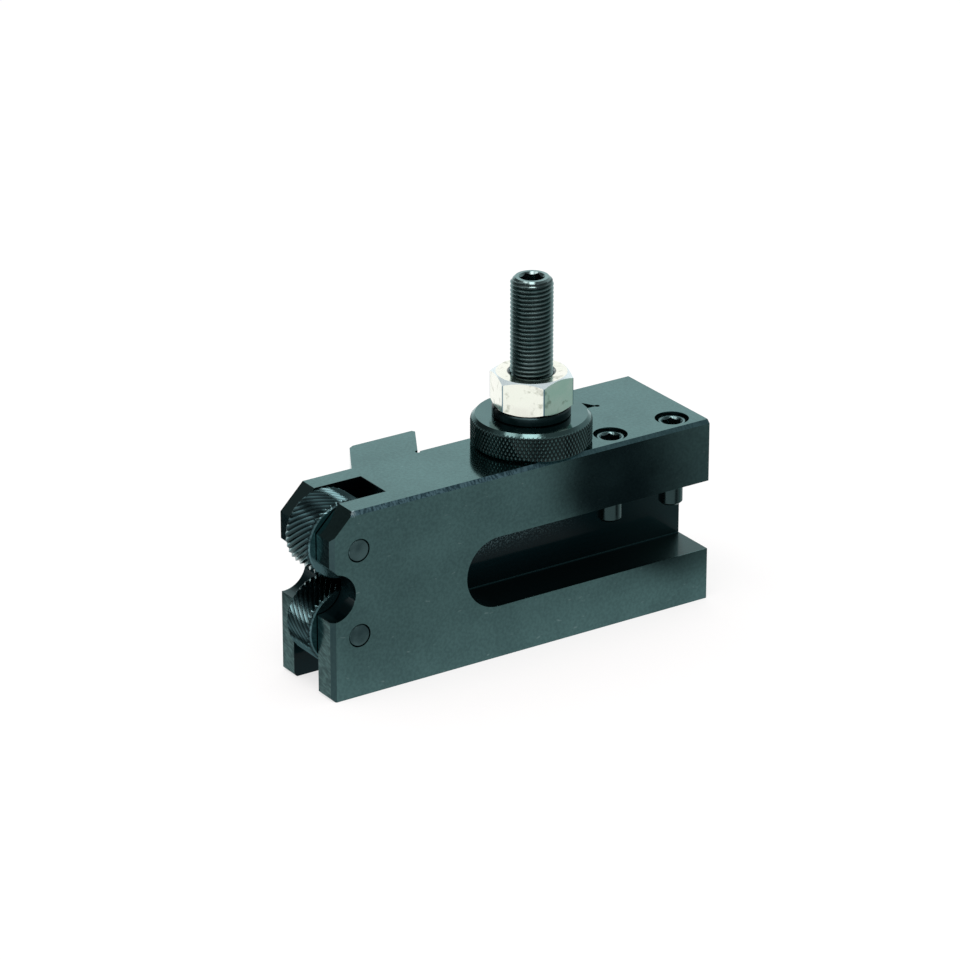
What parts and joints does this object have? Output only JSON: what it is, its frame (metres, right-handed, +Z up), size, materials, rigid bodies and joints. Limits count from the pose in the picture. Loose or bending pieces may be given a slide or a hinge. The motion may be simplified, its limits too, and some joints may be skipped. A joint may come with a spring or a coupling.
{
  "type": "knurling tool holder",
  "caption": "Quick-change tool holder with knurling wheels in a fork at the nose, a dovetail for the tool post and a slot whose set screws clamp a turning tool.",
  "frame": {"origin": "bottom centre of the overall box, on the holder's bottom face", "axes": "+X from the knurling wheels to the tail, +Y from the slotted front face to the dovetail, +Z up along the stud"},
  "size_m": [0.1186, 0.0382, 0.0959],
  "materials": {
    "black_oxide_steel": "ground, then blackened",
    "wheel_steel": "hardened, fine satin",
    "pin_steel": "ground",
    "dark_thread_steel": "blackened, lightly oiled",
    "washer_steel": "blackened spring steel",
    "zinc_plated_steel": "bright zinc plate"
  },
  "bodies": {
    "holder": {"holder_body": "black_oxide_steel", "upper_wheel_pin": "pin_steel", "lower_wheel_pin": "pin_steel", "height_stud": "dark_thread_steel"},
    "upper_wheel": {"upper_knurl_wheel": "wheel_steel"},
    "lower_wheel": {"lower_knurl_wheel": "wheel_steel"},
    "washer": {"lock_washer": "washer_steel"},
    "height_nut": {"thumb_nut": "black_oxide_steel"},
    "jam_nut": {"hex_nut": "zinc_plated_steel"},
    "left_screw": {"left_set_screw": "dark_thread_steel"},
    "right_screw": {"right_set_screw": "dark_thread_steel"}
  },
  "joints": [
    {"name": "upper_wheel_spin", "type": "hinge", "parent": "holder", "child": "upper_wheel", "pos_m": [-0.04855, -0.00479, 0.04017], "axis": [0, 1, 0], "continuous": true},
    {"name": "lower_wheel_spin", "type": "hinge", "parent": "holder", "child": "lower_wheel", "pos_m": [-0.04855, -0.00479, 0.01683], "axis": [0, 1, 0], "continuous": true},
    {"name": "washer_slide", "type": "slide", "parent": "holder", "child": "washer", "axis": [0, 0, 1], "range_m": [0, 0.023]},
    {"name": "height_nut_turn", "type": "hinge", "parent": "washer", "child": "height_nut", "pos_m": [0.013, -0.00328, 0.0508], "axis": [0, 0, 1], "range_deg": [0, 7200]},
    {"name": "jam_nut_turn", "type": "hinge", "parent": "washer", "child": "jam_nut", "pos_m": [0.013, -0.00328, 0.0508], "axis": [0, 0, 1], "range_deg": [0, 7200]},
    {"name": "left_screw_slide", "type": "slide", "parent": "holder", "child": "left_screw", "axis": [0, 0, -1], "range_m": [-0.006, 0.011]},
    {"name": "right_screw_slide", "type": "slide", "parent": "holder", "child": "right_screw", "axis": [0, 0, -1], "range_m": [-0.006, 0.011]}
  ],
  "couplings": [
    {"joint": "washer_slide", "follows": "height_nut_turn", "m_per_rad": 0.00018303},
    {"joint": "jam_nut_turn", "follows": "height_nut_turn", "ratio": 1}
  ]
}
